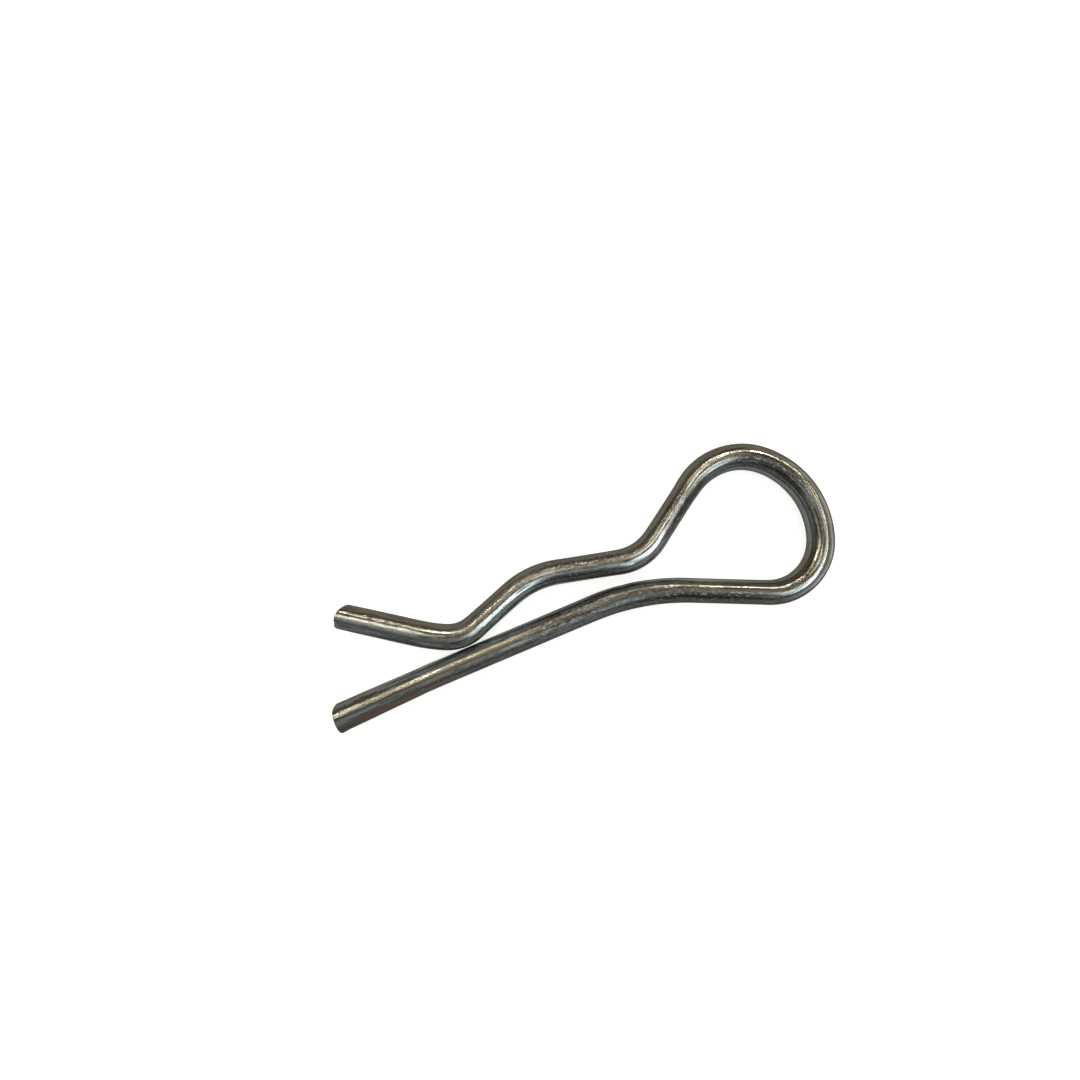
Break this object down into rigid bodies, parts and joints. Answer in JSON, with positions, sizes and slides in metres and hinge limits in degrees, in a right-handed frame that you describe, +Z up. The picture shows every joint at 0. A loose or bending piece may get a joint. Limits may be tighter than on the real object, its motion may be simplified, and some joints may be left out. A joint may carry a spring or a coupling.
{
  "type": "hitch r clip pin",
  "caption": "Spring clip bent from one length of round wire: a straight leg, an open loop and a humped leg that snaps over a pin.",
  "frame": {"origin": "middle of the clip's outline, on the surface that it lies on", "axes": "+X along the end of the straight leg towards the loop, +Y from the straight leg towards the humped leg, +Z up, square to the flat of the clip"},
  "size_m": [0.0826, 0.028, 0.0041],
  "materials": {
    "zinc_wire": "bright zinc plated spring wire with draw lines and light scuffs"
  },
  "bodies": {
    "root": {"r_clip": "zinc_wire"}
  },
  "joints": []
}
